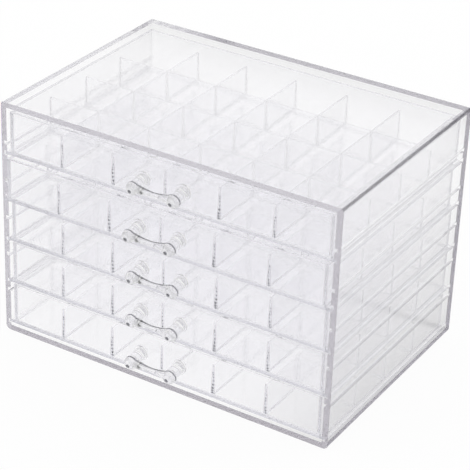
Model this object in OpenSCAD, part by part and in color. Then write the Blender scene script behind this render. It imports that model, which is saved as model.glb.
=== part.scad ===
// Clear storage box for nail art: a one-piece moulded case, open at the front, and a stack of drawers
// divided into open cells. Each drawer slides on the edges of its own floor, in grooves in the case.
// Millimetres. +Z is up, the drawers open towards -Y, and the origin is the middle of the underside.

/* [Cells] */
// Clear width of a cell at its floor
cell_w = 35; // [20:0.5:60]
// Clear depth of a cell at its floor, front to back
cell_d = 35.5; // [20:0.5:60]
// Cells side by side in a drawer
cell_columns = 6; // [2:1:8]
// Cells from front to back in a drawer
cell_rows = 4; // [2:1:6]
// Thickness of a divider at its foot
divider_foot = 2; // [1.5:0.1:3]
// Thickness of a divider at its top edge
divider_top = 1; // [0.8:0.1:1.4]
// How far the dividers stop below the rim of the drawer
divider_drop = 6.2; // [2:0.1:10]

/* [Drawers] */
// Number of drawers in the stack
drawer_count = 5; // [2:1:6]
// Height of a drawer
drawer_h = 28.9; // [24:0.1:50]
// Thickness of the walls around a drawer
drawer_wall = 2.2; // [1.6:0.1:4]
// Thickness of a drawer's floor, and so of the runners at its two sides
floor_t = 2; // [1.5:0.1:4]
// Radius of a drawer's upright corners
drawer_round = 1; // [0.5:0.1:2]
// Air between a drawer's rim and the floor of the drawer above
stack_gap = 1; // [0.6:0.1:4]
// Air between a drawer's side and the inside of the case
side_gap = 1.8; // [1:0.1:5]
// How far a closed drawer's front stands behind the front of the case
front_recess = 0.6; // [0.2:0.1:5]
// Air between a closed drawer's back and the back wall of the case
back_gap = 3.4; // [2.5:0.1:10]
// Drawer that stands a little open, counted from the top
ajar_drawer = 2; // [1:1:5]
// How far that drawer stands open
ajar_out = 3.8; // [0:0.1:20]

/* [Case] */
// Thickness of the side walls
side_wall = 4; // [3:0.1:8]
// Thickness of the top
top_wall = 3.5; // [2:0.1:8]
// Thickness of the bottom
bottom_wall = 3.7; // [2:0.1:8]
// Thickness of the back wall
back_wall = 3.6; // [2:0.1:8]
// Air between the bottom of the case and the lowest drawer
foot_gap = 1.8; // [0.8:0.1:6]
// Air between the rim of the top drawer and the top of the case
head_gap = 2.5; // [0.8:0.1:10]
// Radius of the long upper edges and of the back edges
top_round = 2; // [0.5:0.1:2]
// Radius of the long lower edges
bottom_round = 3; // [0.5:0.1:3]

/* [Grooves] */
// Depth of a groove in the side wall
groove_depth = 2; // [1:0.1:2.5]
// Air under a runner in its groove
runner_gap = 0.3; // [0.2:0.05:0.6]
// Air over a runner in its groove
runner_play = 0.5; // [0.2:0.05:1]
// Air between the edge of a runner and the bottom of its groove
runner_side_play = 0.4; // [0.2:0.05:0.8]
// Height of the spare grooves, which suit a stack of lower drawers
spare_groove_h = 2.5; // [1.5:0.1:4]
// Underside of the lowest spare groove above the underside of the case
spare_first = 28.6; // [12:0.1:60]
// Distance from one spare groove to the next
spare_pitch = 25.8; // [15:0.1:60]

/* [Handles] */
// Distance between the two posts of a handle
post_spacing = 28; // [20:0.5:60]
// Diameter of a post
post_d = 7.4; // [5:0.1:10]
// Diameter of the round tip of a post
tip_d = 8.8; // [6:0.1:12]
// Distance along a post from the drawer's front to the middle of its tip
post_reach = 11; // [8:0.5:25]
// Angle by which the posts lean down
post_lean = 9; // [0:1:15]
// Height of the posts' feet above the underside of the drawer
handle_z = 13.8; // [9:0.1:18]
// Diameter of the bar in the middle of its length
bar_waist_d = 3; // [2:0.1:6]
// Diameter of the bar where it meets the tips
bar_end_d = 7.2; // [5:0.1:7.4]
// Diameter of the flange at the foot of a post
flange_d = 9.8; // [8:0.1:14]
// Thickness of the flange
flange_t = 1.4; // [0.8:0.1:3]
// Diameter of the peg that passes through the drawer's front
peg_d = 4; // [2.5:0.1:6]
// Diameter of the head formed on the peg inside the drawer
head_d = 6.2; // [4.5:0.1:9]
// Thickness of that head
head_t = 1; // [0.6:0.1:2]
// Air around a peg in its hole, on the radius
peg_clearance = 0.1; // [0.05:0.05:0.3]
// Air between the drawer's front and the flange, and between its inner face and the head
seat_gap = 0.05; // [0.02:0.01:0.2]

/* [Hidden] */
$fn = 64;
clear_plastic = [0.90, 0.90, 0.94, 0.35];

// Drawer, worked out from its cells
column_pitch = cell_w + divider_foot;
row_pitch = cell_d + divider_foot;
tray_inner_w = cell_columns * column_pitch - divider_foot;
tray_inner_d = cell_rows * row_pitch - divider_foot;
tray_w = tray_inner_w + 2 * drawer_wall;
tray_d = tray_inner_d + 2 * drawer_wall;
divider_h = drawer_h - floor_t - divider_drop;
runner_w = tray_w + 2 * (side_gap + groove_depth - runner_side_play);
drawer_pitch = drawer_h + stack_gap;
lowest_drawer_z = bottom_wall + foot_gap;

// Case, worked out from the stack of drawers
inner_w = tray_w + 2 * side_gap;
case_w = inner_w + 2 * side_wall;
case_d = front_recess + tray_d + back_gap + back_wall;
inner_top_z = lowest_drawer_z + drawer_count * drawer_pitch - stack_gap + head_gap;
case_h = inner_top_z + top_wall;
front_y = -case_d / 2;
inner_back_y = case_d / 2 - back_wall;
groove_h = floor_t + runner_gap + runner_play;
spare_count = 1 + floor((inner_top_z - spare_groove_h - spare_first) / spare_pitch);

// Handle, worked out from its posts
tip_r = tip_d / 2;
bar_half_l = post_spacing / 2 - tip_r / 2;
bar_sag = (bar_end_d - bar_waist_d) / 2;
bar_arc_r = (bar_half_l * bar_half_l + bar_sag * bar_sag) / (2 * bar_sag);
peg_l = drawer_wall + 2 * seat_gap + head_t;

// How far past a face a cut runs, so that it leaves no skin
cut = 1;

drawer_pieces = ["tray", "column_dividers", "row_dividers", "handle"];

// Underside of a drawer; drawers are counted from the top
function drawer_z(i) = lowest_drawer_z + (drawer_count - i) * drawer_pitch;

// Front face of a drawer as it stands
function drawer_front_y(i) = front_y + front_recess - (i == ajar_drawer ? ajar_out : 0);

// The sliver outside a round corner of radius r at the origin
module corner_sliver(r) {
    difference() {
        square(r);
        translate([r, r]) circle(r);
    }
}

// Rectangle from the origin with its own radius at the two lower and the two upper corners
module rounded_rectangle(w, h, low_r, high_r) {
    difference() {
        square([w, h]);
        corner_sliver(low_r);
        translate([w, 0]) mirror([1, 0]) corner_sliver(low_r);
        translate([w, h]) rotate(180) corner_sliver(high_r);
        translate([0, h]) mirror([0, 1]) corner_sliver(high_r);
    }
}

// Outside of the case: the front outline drawn back, with the back edges rounded as well
module case_block() {
    intersection() {
        translate([-case_w / 2, case_d / 2, 0])
            rotate([90, 0, 0])
                linear_extrude(case_d) rounded_rectangle(case_w, case_h, bottom_round, top_round);
        translate([-case_w / 2, front_y - cut, -cut])
            linear_extrude(case_h + 2 * cut)
                difference() {
                    square([case_w, case_d + cut]);
                    translate([case_w, case_d + cut]) rotate(180) corner_sliver(top_round);
                    translate([0, case_d + cut]) mirror([0, 1]) corner_sliver(top_round);
                }
    }
}

// A pair of grooves, one in each side wall, from the open front to the back wall
module groove_pair(z, h) {
    groove_w = inner_w + 2 * groove_depth;
    translate([-groove_w / 2, front_y - cut, z])
        cube([groove_w, inner_back_y - front_y + cut, h]);
}

module case() {
    color(clear_plastic)
        difference() {
            case_block();
            translate([-inner_w / 2, front_y - cut, bottom_wall])
                cube([inner_w, inner_back_y - front_y + cut, inner_top_z - bottom_wall]);
            for (i = [1:drawer_count]) groove_pair(drawer_z(i) - runner_gap, groove_h);
            for (k = [0:spare_count - 1]) groove_pair(spare_first + k * spare_pitch, spare_groove_h);
        }
}

// Half the thickness of a divider at a height above the drawer's floor
function divider_half(z) = divider_foot / 2 - (divider_foot - divider_top) / 2 * z / divider_h;

// Cross-section of a divider, carried on past its top and its foot by a margin
module divider_section(margin) {
    low = -margin;
    high = divider_h + margin;
    polygon([
        [-divider_half(low), low],
        [divider_half(low), low],
        [divider_half(high), high],
        [-divider_half(high), high]
    ]);
}

// Dividers from front to back, between the walls of a drawer whose front is y = 0
module column_dividers(margin = 0) {
    for (c = [1:cell_columns - 1])
        translate([c * column_pitch - (tray_inner_w + divider_foot) / 2, tray_d - drawer_wall + margin, floor_t])
            rotate([90, 0, 0])
                linear_extrude(tray_inner_d + 2 * margin) divider_section(margin);
}

// Dividers from side to side, in lengths that fit between the others
module row_dividers() {
    difference() {
        for (r = [1:cell_rows - 1])
            translate([-tray_inner_w / 2, drawer_wall - divider_foot / 2 + r * row_pitch, floor_t])
                rotate([90, 0, 90])
                    linear_extrude(tray_inner_w) divider_section(0);
        column_dividers(cut);
    }
}

// Walls around a drawer whose front is y = 0
module walls() {
    linear_extrude(drawer_h)
        difference() {
            translate([-tray_w / 2, 0])
                rounded_rectangle(tray_w, tray_d, drawer_round, drawer_round);
            translate([-tray_inner_w / 2, drawer_wall])
                square([tray_inner_w, tray_inner_d]);
        }
}

// Puts a drawer's pieces where the drawer stands
module place_drawer(i) {
    translate([0, drawer_front_y(i), drawer_z(i)]) children();
}

module drawer_tray(i) {
    color(clear_plastic)
        place_drawer(i)
            difference() {
                union() {
                    translate([-runner_w / 2, 0, 0]) cube([runner_w, tray_d, floor_t]);
                    walls();
                }
                for (side = [-1, 1])
                    translate([side * post_spacing / 2, -cut, handle_z])
                        rotate([-90, 0, 0])
                            cylinder(h = drawer_wall + 2 * cut, r = peg_d / 2 + peg_clearance);
            }
}

module drawer_column_dividers(i) {
    color(clear_plastic) place_drawer(i) column_dividers();
}

module drawer_row_dividers(i) {
    color(clear_plastic) place_drawer(i) row_dividers();
}

// Bar between the tips, thin in the middle; it lies along X
module bar() {
    rotate([0, 90, 0])
        rotate_extrude()
            difference() {
                translate([0, -bar_half_l]) square([bar_end_d / 2, 2 * bar_half_l]);
                translate([bar_waist_d / 2 + bar_arc_r, 0]) circle(bar_arc_r);
            }
}

// Peg through the drawer's front with its formed head, and the flange outside; the front face is y = 0
module foot() {
    rotate([-90, 0, 0]) {
        translate([0, 0, -seat_gap - flange_t]) cylinder(h = flange_t, d = flange_d);
        translate([0, 0, -seat_gap - flange_t / 2]) cylinder(h = flange_t / 2 + peg_l, d = peg_d);
        translate([0, 0, drawer_wall + seat_gap]) cylinder(h = head_t, d = head_d);
    }
}

// Post with its round tip, cut flat inside the flange; the drawer's front face is y = 0
module post() {
    difference() {
        rotate([90 + post_lean, 0, 0]) {
            cylinder(h = post_reach, d = post_d);
            translate([0, 0, post_reach]) sphere(d = tip_d);
        }
        translate([-post_d, -seat_gap - flange_t / 2, -post_d]) cube(2 * post_d);
    }
}

module drawer_handle(i) {
    color(clear_plastic)
        place_drawer(i)
            translate([0, 0, handle_z]) {
                for (side = [-1, 1])
                    translate([side * post_spacing / 2, 0, 0]) {
                        foot();
                        post();
                    }
                rotate([90 + post_lean, 0, 0]) translate([0, 0, post_reach]) bar();
            }
}

case();
for (i = [1:drawer_count]) {
    drawer_tray(i);
    drawer_column_dividers(i);
    drawer_row_dividers(i);
    drawer_handle(i);
}
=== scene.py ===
"""Looks of the clear five-drawer storage box: moulded trays, bow handles and the grooved case."""

import math

import bmesh
import bpy
from mathutils import Matrix, Vector


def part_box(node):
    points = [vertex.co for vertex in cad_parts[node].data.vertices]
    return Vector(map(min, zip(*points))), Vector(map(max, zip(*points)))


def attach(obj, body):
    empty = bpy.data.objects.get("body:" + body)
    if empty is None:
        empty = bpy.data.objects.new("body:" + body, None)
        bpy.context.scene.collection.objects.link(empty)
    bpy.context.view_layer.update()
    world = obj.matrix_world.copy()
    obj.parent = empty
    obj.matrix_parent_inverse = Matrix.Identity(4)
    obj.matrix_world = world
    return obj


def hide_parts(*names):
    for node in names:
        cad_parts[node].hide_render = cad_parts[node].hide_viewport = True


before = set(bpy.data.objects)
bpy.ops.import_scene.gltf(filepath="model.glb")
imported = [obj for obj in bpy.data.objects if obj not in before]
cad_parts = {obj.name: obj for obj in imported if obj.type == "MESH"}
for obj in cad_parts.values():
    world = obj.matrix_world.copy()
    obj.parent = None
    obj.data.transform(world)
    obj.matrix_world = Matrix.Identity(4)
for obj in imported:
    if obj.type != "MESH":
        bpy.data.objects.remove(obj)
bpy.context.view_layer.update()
MM = 0.001
# how close two lengths in mm are when they count as the same
NEAR = 0.01
scene = bpy.context.scene
DRAWERS = range(1, 6)


# Camera

AZIMUTH, ELEVATION, ROLL = (math.radians(a) for a in (30.83, 28.95, 2.28))
# where the camera stands from the middle of the box, along its own right, up and back, in mm
CAMERA_AT = (1.17, -8.85, 1196.7)
BOX_MIDDLE = Vector((0, 0, 80))
FOCAL_PX, FRAME_PX = 1916.9, 470
SENSOR = 36
CLIP_END = 50


def make_camera():
    back = Vector((
        math.sin(AZIMUTH) * math.cos(ELEVATION),
        -math.cos(AZIMUTH) * math.cos(ELEVATION),
        math.sin(ELEVATION),
    ))
    level = Vector((0, 0, 1)).cross(back).normalized()
    rise = back.cross(level)
    right = math.cos(ROLL) * level + math.sin(ROLL) * rise
    up = math.cos(ROLL) * rise - math.sin(ROLL) * level
    place = right * CAMERA_AT[0] + up * CAMERA_AT[1] + back * CAMERA_AT[2] + BOX_MIDDLE
    camera = bpy.data.objects.new("camera", bpy.data.cameras.new("camera"))
    camera.data.sensor_width = SENSOR
    camera.data.lens = SENSOR * FOCAL_PX / FRAME_PX
    camera.data.clip_end = CLIP_END
    turn = Matrix((right, up, back)).transposed().to_4x4()
    camera.matrix_world = Matrix.Translation(place * MM) @ turn
    scene.collection.objects.link(camera)
    scene.camera = camera


# Nodes


def add(tree, kind, **values):
    """A new node with those properties."""
    node = tree.nodes.new(kind)
    for name, value in values.items():
        setattr(node, name, value)
    return node


def feed(tree, socket, value):
    """Links a socket to the input, or sets a plain value on it."""
    if isinstance(value, bpy.types.NodeSocket):
        tree.links.new(value, socket)
    else:
        socket.default_value = value


def noise(tree, place, scale, detail=2.0):
    """Noise over the object's own coordinates; the scale counts per metre."""
    texture = add(tree, "ShaderNodeTexNoise")
    texture.inputs["Scale"].default_value = scale
    texture.inputs["Detail"].default_value = detail
    feed(tree, texture.inputs["Vector"], place.outputs["Object"])
    return texture.outputs["Fac"]


def remap(tree, value, source, target, **settings):
    """The value taken from one range to another."""
    node = add(tree, "ShaderNodeMapRange", **settings)
    for name, end in zip(("From Min", "From Max", "To Min", "To Max"), (*source, *target)):
        node.inputs[name].default_value = end
    feed(tree, node.inputs["Value"], value)
    return node.outputs["Result"]


def mixed(tree, factor, first, second):
    """Two colours mixed by a factor; each is a socket or a plain colour with its alpha."""
    node = add(tree, "ShaderNodeMix", data_type="RGBA")
    for name, value in (("Factor", factor), ("A", first), ("B", second)):
        feed(tree, node.inputs[name], value)
    return node.outputs["Result"]


def worked(tree, operation, *values, **settings):
    """One math operation on sockets and plain numbers."""
    node = add(tree, "ShaderNodeMath", operation=operation, **settings)
    for socket, value in zip(node.inputs, values):
        feed(tree, socket, value)
    return node.outputs["Value"]


def chained(tree, operation, values):
    """One math operation over all the values in turn."""
    result = values[0]
    for value in values[1:]:
        result = worked(tree, operation, result, value)
    return result


def either_shader(tree, factor, first, second, output):
    """Two shaders mixed by a factor into the output's surface."""
    mix = add(tree, "ShaderNodeMixShader")
    for socket, value in zip(mix.inputs, (factor, first, second)):
        feed(tree, socket, value)
    feed(tree, output.inputs["Surface"], mix.outputs["Shader"])


# Materials

# painted shade on a plate's narrow edge, standing for the light it loses on the long way through the plate
PAINTED_CASE_EDGE_SHADE = (0.56, 0.53, 0.56)
PAINTED_TRAY_EDGE_SHADE = (0.55, 0.55, 0.62)
# painted shade on the ring and end of a handle's round tip, standing for the dark rings where it bends light the most
PAINTED_TIP_SHADE = (0.05, 0.05, 0.06)
# noise scales per metre: cloudy patches, slow moulding waves, fine grain, and the grain of the specks
CLOUD_SCALE, SWELL_SCALE, GRAIN_SCALE, SPECK_SCALE = 38, 55, 2400, 600
# the part of the cloudy noise that varies the haze, and the least and most that it multiplies it by
PATCH_SPAN, PATCH_GAIN = (0.3, 0.7), (0.75, 1.25)
# the part of the painted shade specks' noise that varies their tint, and the tint's two ends
SPECK_SPAN = (0.35, 0.65)
SPECK_DARK, SPECK_PALE = (0.1, 0.1, 0.11, 1), (0.5, 0.5, 0.54, 1)


def clear_plastic(name, haze, grain, wave, tint, absorb, density, ior, painted_edge_shade):
    """Water-clear moulding: fine haze, slow moulding waves and a tint that only long light paths show.

    haze is the roughness where a face's haze is 0 and 1, grain the height of the fine grain in mm, and wave the
    strength and height in mm of the slow waves. The edge colour is painted shade, laid on as far as a face's edge
    attribute says.
    """
    material = bpy.data.materials.new(name)
    material.use_nodes = True
    tree = material.node_tree
    shader = tree.nodes["Principled BSDF"]
    shader.inputs["Transmission Weight"].default_value = 1.0
    shader.inputs["IOR"].default_value = ior
    place = add(tree, "ShaderNodeTexCoord")
    cloud = noise(tree, place, CLOUD_SCALE, 4)

    face_haze = add(tree, "ShaderNodeAttribute", attribute_name="haze").outputs["Fac"]
    base = remap(tree, face_haze, (0, 1), haze, clamp=False)
    patch = remap(tree, cloud, PATCH_SPAN, PATCH_GAIN)
    feed(tree, shader.inputs["Roughness"], worked(tree, "MULTIPLY", base, patch))

    # painted shade: the edge attribute mixes in a darker colour, standing for light lost along long paths through the
    # plates and the dark rings in the handle tips
    painted_shade_mask = add(tree, "ShaderNodeAttribute", attribute_name="edge").outputs["Fac"]
    colour = mixed(tree, cloud, (*tint[0], 1), (*tint[1], 1))
    feed(tree, shader.inputs["Base Color"], mixed(tree, painted_shade_mask, colour, (*painted_edge_shade, 1)))

    swell = add(tree, "ShaderNodeBump")
    swell.inputs["Strength"].default_value = wave[0]
    swell.inputs["Distance"].default_value = wave[1] * MM
    feed(tree, swell.inputs["Height"], noise(tree, place, SWELL_SCALE, 1))
    fine = add(tree, "ShaderNodeBump")
    fine.inputs["Distance"].default_value = grain * MM
    feed(tree, fine.inputs["Strength"], face_haze)
    feed(tree, fine.inputs["Height"], noise(tree, place, GRAIN_SCALE, 1))
    feed(tree, fine.inputs["Normal"], swell.outputs["Normal"])
    feed(tree, shader.inputs["Normal"], fine.outputs["Normal"])

    volume = add(tree, "ShaderNodeVolumeAbsorption")
    volume.inputs["Color"].default_value = (*absorb, 1)
    volume.inputs["Density"].default_value = density
    feed(tree, tree.nodes["Material Output"].inputs["Volume"], volume.outputs["Volume"])
    return material


CLEAR = ((0.999, 0.999, 1.0), (1.0, 1.0, 1.0))
LAVENDER = ((0.9945, 0.9935, 1.0), (0.9965, 0.9955, 1.0))
case_plastic = clear_plastic(
    "case_plastic", haze=(0.02, 0.03), grain=0.008, wave=(0.1, 0.4), tint=CLEAR,
    absorb=(0.5, 0.47, 0.55), density=4.8, ior=1.49, painted_edge_shade=PAINTED_CASE_EDGE_SHADE,
)
tray_plastic = clear_plastic(
    "tray_plastic", haze=(0.02, 0.04), grain=0.018, wave=(0.08, 0.4), tint=LAVENDER,
    absorb=(0.4, 0.38, 0.56), density=1.3, ior=1.55, painted_edge_shade=PAINTED_TRAY_EDGE_SHADE,
)
handle_plastic = clear_plastic(
    "handle_plastic", haze=(0.01, 0.02), grain=0.0, wave=(0.04, 0.4), tint=CLEAR,
    absorb=(0.5, 0.5, 0.53), density=8.0, ior=1.57, painted_edge_shade=PAINTED_TIP_SHADE,
)


def painted_speck_material(name):
    """Grey specks of painted shade: they tint what passes through them and bend nothing."""
    material = bpy.data.materials.new(name)
    material.use_nodes = True
    tree = material.node_tree
    shader = tree.nodes["Principled BSDF"]
    shader.inputs["Transmission Weight"].default_value = 1.0
    shader.inputs["IOR"].default_value = 1.0
    shader.inputs["Roughness"].default_value = 0.0
    place = add(tree, "ShaderNodeTexCoord")
    shade = remap(tree, noise(tree, place, SPECK_SCALE), SPECK_SPAN, (0, 1))
    feed(tree, shader.inputs["Base Color"], mixed(tree, shade, SPECK_DARK, SPECK_PALE))
    return material


painted_shade_specks = painted_speck_material("painted_shade_specks")


# Forms


def settled(obj):
    """The object's mesh with its modifiers worked in, and the object removed."""
    bpy.context.view_layer.update()
    graph = bpy.context.evaluated_depsgraph_get()
    mesh = bpy.data.meshes.new_from_object(obj.evaluated_get(graph), depsgraph=graph)
    bpy.data.objects.remove(obj)
    return mesh


def finished(name, mesh, material, smooth):
    """The mesh under its own name, in one material."""
    mesh.name = name
    mesh.materials.clear()
    mesh.materials.append(material)
    for p in mesh.polygons:
        p.use_smooth = smooth
    return mesh


def in_metres(bm, name):
    """A mesh in metres from a form in mm."""
    bmesh.ops.scale(bm, vec=(MM, MM, MM), verts=bm.verts)
    mesh = bpy.data.meshes.new(name)
    bm.to_mesh(mesh)
    bm.free()
    return mesh


def bevelled(mesh, segments):
    """The mesh with each weighted edge rounded, weight 1 being 1 mm."""
    rough = bpy.data.objects.new("form", mesh)
    scene.collection.objects.link(rough)
    bevel = rough.modifiers.new("edges", "BEVEL")
    bevel.limit_method = "WEIGHT"
    bevel.width = 1.0 * MM
    bevel.segments = segments
    bevel.use_clamp_overlap = True
    return settled(rough)


def place_on_drawer(n, name, mesh, slot, *nodes):
    """The mesh as a piece of drawer n, in place of those nodes of its own."""
    low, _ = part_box(f"drawer_{n}_tray")
    piece = bpy.data.objects.new(f"drawer_{n}_{name}", mesh)
    piece.location = (0, low.y, low.z)
    scene.collection.objects.link(piece)
    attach(piece, f"drawer_{n}")
    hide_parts(*(f"drawer_{n}_{node}" for node in nodes))


# Trays

COLUMNS, ROWS = 6, 4
CELL_W, CELL_D = 35.0, 35.5
# half the thickness of a divider at its foot and at its top
FOOT, TOP = 1.0, 0.5
COLUMN_PITCH, ROW_PITCH = CELL_W + 2 * FOOT, CELL_D + 2 * FOOT
WALL, FLOOR, DIVIDER_TOP, HEIGHT = 2.2, 2.0, 22.7, 28.9
# half the width over the runners and between the side walls
RUNNER, INNER_X = 115.6, 110.0
INNER_FRONT, INNER_BACK = WALL, WALL + 148.0
OUTER_X, OUTER_BACK = INNER_X + WALL, INNER_BACK + WALL
# the two holes for a handle's pegs, and the columns they are in
HOLE_X, HOLE_Z, HOLE_R, HOLE_POINTS = 14.0, 13.8, 2.1, 24
HOLE_COLUMNS = {2: -HOLE_X, 3: HOLE_X}
# haze of the underside, of the outer sides, and of the front and back above the floor
UNDER_HAZE, SIDE_HAZE, FRONT_HAZE = 1.2, 3.5, 1.3
# depth of the painted shade on the front and back edges of the floor
FLOOR_EDGE_SHADE_DEPTH = 0.5
# an edge that turns less than this, in radians, stays sharp
TRAY_TURN = 0.35
# radii of the walls' upright corners, of the outer edges and of the inner ones
UPRIGHT_R, CONVEX_R, CONCAVE_R = 1.0, 0.3, 0.45
# an edge this tall is an upright, and one this near a hole's middle is the hole's
UPRIGHT_H, HOLE_REACH = 20, 3


def span(i, count, pitch, low, high, half):
    """Where cell i of a row starts and ends, between dividers of that half thickness."""
    start = low if i == 0 else low - FOOT + i * pitch + half
    end = high if i == count - 1 else low - FOOT + (i + 1) * pitch - half
    return start, end


def hole_ring(centre_x, y):
    """The points of a peg's hole at that depth."""
    angles = [2 * math.pi * k / HOLE_POINTS - 0.75 * math.pi for k in range(HOLE_POINTS)]
    return [(centre_x + HOLE_R * math.cos(a), y, HOLE_Z + HOLE_R * math.sin(a)) for a in angles]


def outward(point):
    """The place on the outside of the walls that belongs to a point on their inside."""
    x, y, _ = point
    if abs(abs(x) - INNER_X) < NEAR:
        x = math.copysign(OUTER_X, x)
    if abs(y - INNER_FRONT) < NEAR:
        y = 0.0
    if abs(y - INNER_BACK) < NEAR:
        y = OUTER_BACK
    return x, y


def tray_mesh(name):
    """One drawer moulding as a clean closed mesh: x centred, y from the front, z from the underside, in mm."""
    bm = bmesh.new()
    made = {}

    def vert(x, y, z):
        key = (round(x, 4), round(y, 4), round(z, 4))
        if key not in made:
            made[key] = bm.verts.new(key)
        return made[key]

    def face(*points):
        return bm.faces.new([vert(*p) for p in points])

    def holed(corners, hole):
        """Four flat faces round a hole; corners run left-bottom, right-bottom, right-top, left-top."""
        quarter = len(hole) // 4
        for i in range(4):
            arc = [hole[(i * quarter + k) % len(hole)] for k in range(quarter + 1)]
            face(corners[i], corners[(i + 1) % 4], *reversed(arc))

    cell = {}
    for c in range(COLUMNS):
        for r in range(ROWS):
            for z, half in ((FLOOR, FOOT), (DIVIDER_TOP, TOP)):
                x0, x1 = span(c, COLUMNS, COLUMN_PITCH, -INNER_X, INNER_X, half)
                y0, y1 = span(r, ROWS, ROW_PITCH, INNER_FRONT, INNER_BACK, half)
                cell[c, r, z] = [(x0, y0, z), (x1, y0, z), (x1, y1, z), (x0, y1, z)]

    # cell floors and sides
    for c in range(COLUMNS):
        for r in range(ROWS):
            low, high = cell[c, r, FLOOR], cell[c, r, DIVIDER_TOP]
            face(*low)
            for i in range(4):
                j = (i + 1) % 4
                if i == 0 and r == 0 and c in HOLE_COLUMNS:
                    holed([low[0], low[1], high[1], high[0]], hole_ring(HOLE_COLUMNS[c], WALL))
                else:
                    face(low[i], low[j], high[j], high[i])

    # tops of the dividers
    top = {(c, r): cell[c, r, DIVIDER_TOP] for c in range(COLUMNS) for r in range(ROWS)}
    for c in range(COLUMNS):
        for r in range(ROWS):
            if c < COLUMNS - 1:
                face(top[c, r][1], top[c + 1, r][0], top[c + 1, r][3], top[c, r][2])
            if r < ROWS - 1:
                face(top[c, r][3], top[c, r][2], top[c, r + 1][1], top[c, r + 1][0])
            if c < COLUMNS - 1 and r < ROWS - 1:
                face(top[c, r][2], top[c + 1, r][3], top[c + 1, r + 1][0], top[c, r + 1][1])

    # inside of the walls above the dividers, rim, and outside down to the runners
    front = [p for c in range(COLUMNS) for p in top[c, 0][:2]]
    right = [p for r in range(ROWS) for p in top[COLUMNS - 1, r][1:3]]
    back = [p for c in reversed(range(COLUMNS)) for p in top[c, ROWS - 1][2:]]
    left = [p for r in reversed(range(ROWS)) for p in (top[0, r][3], top[0, r][0])]
    loop = front[:-1] + right[:-1] + back[:-1] + left[:-1]
    count = len(loop)
    for i in range(count):
        a, b = loop[i], loop[(i + 1) % count]
        (ax, ay), (bx, by) = outward(a), outward(b)
        face(a, b, (b[0], b[1], HEIGHT), (a[0], a[1], HEIGHT))
        face((a[0], a[1], HEIGHT), (b[0], b[1], HEIGHT), (bx, by, HEIGHT), (ax, ay, HEIGHT))
        panel = [(ax, ay, FLOOR), (bx, by, FLOOR), (bx, by, HEIGHT), (ax, ay, HEIGHT)]
        on_front = ay == by == 0.0
        centre = next((x for x in HOLE_COLUMNS.values() if on_front and ax < x < bx), None)
        if centre is None:
            face(*panel)
        else:
            near, far = hole_ring(centre, 0.0), hole_ring(centre, WALL)
            holed(panel, near)
            for k in range(HOLE_POINTS):
                m = (k + 1) % HOLE_POINTS
                face(near[k], near[m], far[m], far[k])
        if ax == bx:
            edge = math.copysign(RUNNER, ax)
            face((ax, ay, FLOOR), (bx, by, FLOOR), (edge, by, FLOOR), (edge, ay, FLOOR))
            face((edge, ay, FLOOR), (edge, by, FLOOR), (edge, by, 0), (edge, ay, 0))
        else:
            face((ax, ay, FLOOR), (bx, by, FLOOR), (bx, by, 0), (ax, ay, 0))

    # runner ends and underside
    for x in (-OUTER_X, OUTER_X):
        edge = math.copysign(RUNNER, x)
        for y in (0.0, OUTER_BACK):
            face((x, y, 0), (edge, y, 0), (edge, y, FLOOR), (x, y, FLOOR))
    under = []
    for i in range(count):
        x, y = outward(loop[i])
        prior_y = outward(loop[i - 1])[1]
        on_side = abs(abs(x) - OUTER_X) < NEAR
        corner = on_side and y in (0.0, OUTER_BACK)
        edge = (math.copysign(RUNNER, x), y, 0)
        if corner and prior_y == y:
            under += [(x, y, 0), edge]
        elif corner:
            under += [edge, (x, y, 0)]
        elif on_side:
            under.append(edge)
        else:
            under.append((x, y, 0))
    face(*under)

    bmesh.ops.recalc_face_normals(bm, faces=bm.faces)
    mark_tray(bm)
    return in_metres(bm, name)


def mark_tray(bm):
    """Haze and painted shade of the tray's faces, and the radii of its edges."""
    haze = bm.faces.layers.float.new("haze")
    tint = bm.faces.layers.float.new("edge")
    for f in bm.faces:
        middle = f.calc_center_median()
        on_end = middle.y < NEAR or middle.y > OUTER_BACK - NEAR
        if middle.z < NEAR:
            f[haze] = UNDER_HAZE
        elif abs(abs(middle.x) - OUTER_X) < NEAR:
            f[haze] = SIDE_HAZE
        elif on_end and middle.z > FLOOR:
            f[haze] = FRONT_HAZE
        # painted shade on the front and back edges of the floor
        if on_end and middle.z < FLOOR:
            f[tint] = FLOOR_EDGE_SHADE_DEPTH
    radius = bm.edges.layers.float.new("bevel_weight_edge")
    for e in bm.edges:
        if len(e.link_faces) != 2 or e.calc_face_angle() < TRAY_TURN:
            continue
        ends = [v.co for v in e.verts]
        if all(abs(abs(p.x) - HOLE_X) < HOLE_REACH and abs(p.z - HOLE_Z) < HOLE_REACH for p in ends):
            continue
        if abs(ends[0].z - ends[1].z) > UPRIGHT_H and abs(ends[0].x) > OUTER_X - NEAR:
            e[radius] = UPRIGHT_R
        else:
            e[radius] = CONVEX_R if e.is_convex else CONCAVE_R


# how high the specks of a divider reach above the floor, and where they would have no width left
SPECK_TOP, SPECK_FADE = 15, 17
# how thick a speck is, half, and how far behind the inside of the front it sits
SPECK_Y, SPECK_BACK = 0.5, 0.5


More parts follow.
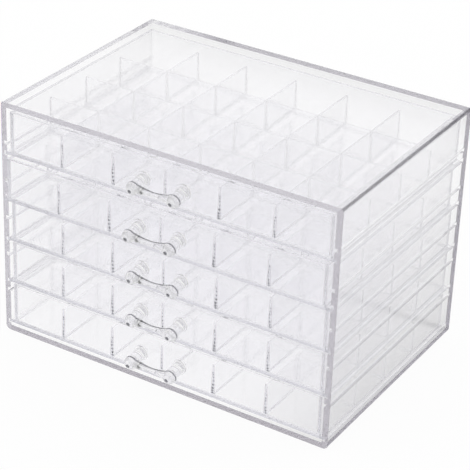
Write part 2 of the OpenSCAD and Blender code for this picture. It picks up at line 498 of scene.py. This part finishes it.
def add_specks(mesh):
    """Grey specks of painted shade where the thick foot of each column divider runs into the drawer's front."""
    mesh.materials.append(painted_shade_specks)
    bm = bmesh.new()
    bm.from_mesh(mesh)
    for c in range(COLUMNS - 1):
        x = -INNER_X - FOOT + (c + 1) * COLUMN_PITCH
        z, k = FLOOR + 0.7, 0
        while z < FLOOR + SPECK_TOP:
            stir = math.sin(12.9898 * (7 * c + k) + 4.1414)
            rise = 1 - (z - FLOOR) / SPECK_FADE
            half = FOOT - (FOOT - TOP) * (z - FLOOR) / (DIVIDER_TOP - FLOOR)
            wide = half * (0.4 + 0.35 * rise + 0.2 * stir)
            tall = 0.4 + 0.5 * abs(stir)
            place = Matrix.Translation((
                (x + 0.3 * half * math.sin(5.3 * k + 2 * c)) * MM,
                (WALL + SPECK_BACK + 0.3 * stir) * MM,
                z * MM,
            ))
            form = Matrix.Diagonal((wide * MM, SPECK_Y * MM, tall * MM, 1))
            ball = bmesh.ops.create_icosphere(bm, subdivisions=1, radius=1.0, matrix=place @ form)
            for f in {f for v in ball["verts"] for f in v.link_faces}:
                f.smooth = True
                f.material_index = 1
            z += 2 * tall + 0.1 + (0.4 + 1.2 * (1 - rise)) * abs(math.sin(3.7 * k + c))
            k += 1
    bm.to_mesh(mesh)
    bm.free()


def make_trays():
    mesh = finished("tray_moulding", bevelled(tray_mesh("tray_form"), 3), tray_plastic, False)
    add_specks(mesh)
    for n in DRAWERS:
        place_on_drawer(n, "moulding", mesh, "tray_plastic", "tray", "column_dividers", "row_dividers")


# Case

CASE_X, CASE_FRONT, CASE_BACK, CASE_H = 118.0, -80.0, 80.0, 160.0
BAY_X, BAY_BACK, BAY_FLOOR, BAY_TOP, GROOVE_X = 114.0, 76.4, 3.7, 156.5, 116.0
# radii of the outline's corners, and how many points each has
TOP_ROUND, BOTTOM_ROUND, CORNER = 2.0, 3.0, 9
# depth of the painted shade on the right, left, bottom and top of the front rim
RIM_SHADE_DEPTHS = (0.5, 0.15, 0.75, 0.0)
# an edge that turns less than this, in radians, stays sharp
CASE_TURN = 0.6
# radii of the edges in the grooves and of the others
GROOVE_R, RIM_R = 0.12, 0.3
# the grooves of the drawers and the spare ones: height of the lowest, pitch and width
GROOVE_SETS = ((5.2, 29.9, 2.8), (28.6, 25.8, 2.5))
GROOVES = sorted((first + pitch * k, wide) for first, pitch, wide in GROOVE_SETS for k in range(5))


def case_outline():
    """The outside of the case seen from the front, once round from the bottom left."""
    points = []
    for side, middle_z, r, start in (
        (-1, BOTTOM_ROUND, BOTTOM_ROUND, 180),
        (1, BOTTOM_ROUND, BOTTOM_ROUND, 270),
        (1, CASE_H - TOP_ROUND, TOP_ROUND, 0),
        (-1, CASE_H - TOP_ROUND, TOP_ROUND, 90),
    ):
        for k in range(CORNER):
            a = math.radians(start + 90 * k / (CORNER - 1))
            points.append((side * (CASE_X - r) + r * math.cos(a), middle_z + r * math.sin(a)))
    return points


def bay_outline():
    """The opening of the case with its grooves, once round from the bottom right."""
    right = [(BAY_X, BAY_FLOOR)]
    for z, h in GROOVES:
        right += [(BAY_X, z), (GROOVE_X, z), (GROOVE_X, z + h), (BAY_X, z + h)]
    right.append((BAY_X, BAY_TOP))
    return [*right, *[(-x, z) for x, z in reversed(right)]]


def case_mesh(name):
    """The case as a clean closed mesh, in the model's own place, in mm."""
    bm = bmesh.new()
    haze = bm.faces.layers.float.new("haze")
    tint = bm.faces.layers.float.new("edge")

    def loop(points, y):
        return [bm.verts.new((x, y, z)) for x, z in points]

    def walls(a, b):
        for i in range(len(a)):
            j = (i + 1) % len(a)
            bm.faces.new((a[i], a[j], b[j], b[i]))

    outer, outer_back = loop(case_outline(), CASE_FRONT), loop(case_outline(), CASE_BACK)
    bay, bay_back = loop(bay_outline(), CASE_FRONT), loop(bay_outline(), BAY_BACK)
    walls(outer, outer_back)
    walls(bay, bay_back)
    bm.faces.new(outer_back)
    bm.faces.new(bay_back)
    # the rim is four faces: right, left, bottom and top; the right and left ones take in the corners
    half = len(bay) // 2
    rise, fall = CORNER, 3 * CORNER
    rim = [
        bm.faces.new([*outer[rise:fall], *reversed(bay[:half])]),
        bm.faces.new([*outer[fall:], *outer[:rise], *reversed(bay[half:])]),
        bm.faces.new([outer[rise - 1], outer[rise], bay[0], bay[-1]]),
        bm.faces.new([outer[fall - 1], outer[fall], bay[half], bay[half - 1]]),
    ]
    bmesh.ops.recalc_face_normals(bm, faces=bm.faces)
    # painted shade on the front rim, deepest at the bottom and right
    for f, depth in zip(rim, RIM_SHADE_DEPTHS):
        f[tint] = depth
    for f in bm.faces:
        middle = f.calc_center_median()
        in_groove = BAY_X + NEAR < abs(middle.x) < CASE_X - 0.5
        f[haze] = 0.0 if in_groove or middle.y < CASE_FRONT + NEAR else 1.0
    radius = bm.edges.layers.float.new("bevel_weight_edge")
    for e in bm.edges:
        if e.calc_face_angle() < CASE_TURN:
            continue
        in_groove = any(abs(abs(v.co.x) - GROOVE_X) < NEAR for v in e.verts)
        e[radius] = GROOVE_R if in_groove else RIM_R
    return in_metres(bm, name)


def make_case():
    mesh = finished("case_shell", bevelled(case_mesh("case_form"), 2), case_plastic, False)
    shell = bpy.data.objects.new("case_shell", mesh)
    scene.collection.objects.link(shell)
    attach(shell, "case")
    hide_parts("case")


# Handles

# how far the posts lean, how far along a post the middle of its round tip is, and the tip's radius
LEAN, REACH, TIP_R = math.radians(9), 11.0, 4.4
POST = Vector((0, -math.cos(LEAN), -math.sin(LEAN)))
TIP = Vector((HOLE_X, 0, HOLE_Z)) + REACH * POST
# the painted shade on a tip: half the ring's width, how far inside the tip's radius it may lie, and where the end's
# spot starts
RING, RING_IN, POLE = 0.45, 0.4, 4.2
# the painted shade along the bar: how upright a face's normal is there, how far off the tips it stops, and its depth
BAR_LINE, BAR_STOP, BAR_SHADE_DEPTH = 0.93, 0.6, 0.06
# the grain of the new mesh in mm, and how far and how often its joins are smoothed
VOXEL, FLOW, FLOW_STEPS = 0.2, 0.5, 5


def mark_handle(mesh):
    """Painted shade round the middle and on the end of each tip, and along the top and bottom of the bar."""
    tint = mesh.attributes.new("edge", "FLOAT", "FACE")
    for p in mesh.polygons:
        at = p.center / MM
        off = Vector((abs(at.x), at.y, at.z)) - TIP
        along = off.dot(POST)
        painted_ring = abs(along) < RING and (off - along * POST).length > TIP_R - RING_IN
        painted_bar_line = abs(at.x) < HOLE_X - TIP_R - BAR_STOP and abs(p.normal.z) > BAR_LINE
        tint.data[p.index].value = 1.0 if painted_ring or along > POLE else BAR_SHADE_DEPTH if painted_bar_line else 0.0


def make_handles():
    """The CAD handle with its joins run into each other, as a moulded bow has them."""
    low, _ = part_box("drawer_1_tray")
    form = bpy.data.objects.new("handle_form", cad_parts["drawer_1_handle"].data.copy())
    form.data.transform(Matrix.Translation((0, -low.y, -low.z)))
    scene.collection.objects.link(form)
    remesh = form.modifiers.new("remesh", "REMESH")
    remesh.mode = "VOXEL"
    remesh.voxel_size = VOXEL * MM
    flow = form.modifiers.new("flow", "SMOOTH")
    flow.factor = FLOW
    flow.iterations = FLOW_STEPS
    mesh = finished("bow_handle", settled(form), handle_plastic, True)
    mark_handle(mesh)
    for n in DRAWERS:
        place_on_drawer(n, "bow_handle", mesh, "handle_plastic", "handle")


# Stage

# how much of the floor's look is its own glow, seen through the plastic and seen by the camera; the camera sees it
# even, the plastic sees its painted fades and painted shadow strips
THROUGH_GLOW, SEEN_GLOW = 0.97, 0.95
PAPER = (0.97, 0.97, 0.97, 1)
WHITE = (1, 1, 1, 1)
# half the floor's width, and how far it lies under the box, in metres
FLOOR_HALF, FLOOR_DROP = 12.0, 0.0004
# where the painted light on the floor starts and stops fading, in metres, and the level it fades to
FADE_BACK, FADE_FRONT, FADED = (0.32, 0.42), (-0.25, -0.45), 0.8
# painted shadow of the box on the floor, in strips: axis, where it is deepest, how far it reaches, and its level
PAINTED_FLOOR_SHADOWS = (
    ("X", 0.15, 0.12, 0.75),
    ("Y", 0.0, 0.12, 0.97),
    ("X", 0.121, 0.012, 0.75),
    ("Y", 0.082, 0.006, 0.6),
)
# dimmer gaps between the white panels: direction, outer and inner angle, level
GAPS = (
    ((0.45, -0.75, 0.48), 34, 26, 0.5),
    ((-1.0, 0.0, 0.3), 32, 26, 0.3),
    ((0.0, 0.0, 1.0), 28, 22, 0.5),
)


def make_world():
    """An even white room, with dimmer gaps in what the plastic bends and reflects."""
    world = bpy.data.worlds.new("studio")
    scene.world = world
    world.use_nodes = True
    tree = world.node_tree
    place = add(tree, "ShaderNodeTexCoord")
    levels = []
    for direction, outer, inner, dim in GAPS:
        toward = add(tree, "ShaderNodeVectorMath", operation="DOT_PRODUCT")
        feed(tree, toward.inputs[0], place.outputs["Generated"])
        feed(tree, toward.inputs[1], Vector(direction).normalized())
        edge = [math.cos(math.radians(angle)) for angle in (outer, inner)]
        levels.append(
            remap(tree, toward.outputs["Value"], edge, (1.0, dim), interpolation_type="SMOOTHSTEP")
        )
    panels = tree.nodes["Background"]
    panels.inputs["Color"].default_value = WHITE
    feed(tree, panels.inputs["Strength"], chained(tree, "MINIMUM", levels))
    white = add(tree, "ShaderNodeBackground")
    white.inputs["Color"].default_value = WHITE
    path = add(tree, "ShaderNodeLightPath")
    even = worked(tree, "MAXIMUM", path.outputs["Is Camera Ray"], path.outputs["Is Diffuse Ray"])
    either_shader(
        tree, even, panels.outputs["Background"], white.outputs["Background"], tree.nodes["World Output"]
    )


def painted_floor_light(tree):
    """How bright the floor shows in the plastic, from place to place: painted fading and painted shadow strips."""
    place = add(tree, "ShaderNodeTexCoord")
    split = add(tree, "ShaderNodeSeparateXYZ")
    feed(tree, split.inputs["Vector"], place.outputs["Object"])
    levels = [
        remap(tree, split.outputs["Y"], ends, (1.0, FADED), interpolation_type="SMOOTHSTEP")
        for ends in (FADE_BACK, FADE_FRONT)
    ]
    for axis, middle, reach, deep in PAINTED_FLOOR_SHADOWS:
        away = worked(tree, "ABSOLUTE", worked(tree, "SUBTRACT", split.outputs[axis], middle))
        levels.append(remap(tree, away, (0.0, reach), (deep, 1.0), interpolation_type="SMOOTHSTEP"))
    return chained(tree, "MULTIPLY", levels)


def floor_material(name):
    """White paper: the camera sees an even white with a faint shadow, the plastic shows the floor's painted light and
    painted shadow strips.
    """
    material = bpy.data.materials.new(name)
    material.use_nodes = True
    tree = material.node_tree
    tree.nodes.remove(tree.nodes["Principled BSDF"])
    paper = add(tree, "ShaderNodeBsdfDiffuse")
    paper.inputs["Color"].default_value = PAPER
    glow = add(tree, "ShaderNodeEmission")
    path = add(tree, "ShaderNodeLightPath")
    camera = path.outputs["Is Camera Ray"]
    feed(tree, glow.inputs["Strength"], worked(tree, "MAXIMUM", painted_floor_light(tree), camera))
    bent = worked(tree, "MAXIMUM", path.outputs["Is Glossy Ray"], path.outputs["Is Transmission Ray"])
    through = worked(tree, "MULTIPLY", bent, THROUGH_GLOW)
    share = worked(tree, "MULTIPLY_ADD", camera, SEEN_GLOW, through, use_clamp=True)
    either_shader(
        tree, share, paper.outputs["BSDF"], glow.outputs["Emission"], tree.nodes["Material Output"]
    )
    return material


def make_floor():
    mesh = bpy.data.meshes.new("floor")
    corners = [(x * FLOOR_HALF, y * FLOOR_HALF, 0) for x, y in ((-1, -1), (1, -1), (1, 1), (-1, 1))]
    mesh.from_pydata(corners, [], [(0, 1, 2, 3)])
    mesh.materials.append(floor_material("white_floor"))
    floor = bpy.data.objects.new("floor", mesh)
    floor.location.z = -FLOOR_DROP
    scene.collection.objects.link(floor)


make_camera()
make_case()
make_trays()
make_handles()
make_world()
make_floor()

# light crosses many thin plates before it leaves the box
BOUNCES, CLEAR_BOUNCES = 96, 32
scene.view_settings.view_transform = "Standard"
scene.cycles.max_bounces = BOUNCES
scene.cycles.transmission_bounces = BOUNCES
scene.cycles.glossy_bounces = BOUNCES
scene.cycles.transparent_max_bounces = CLEAR_BOUNCES
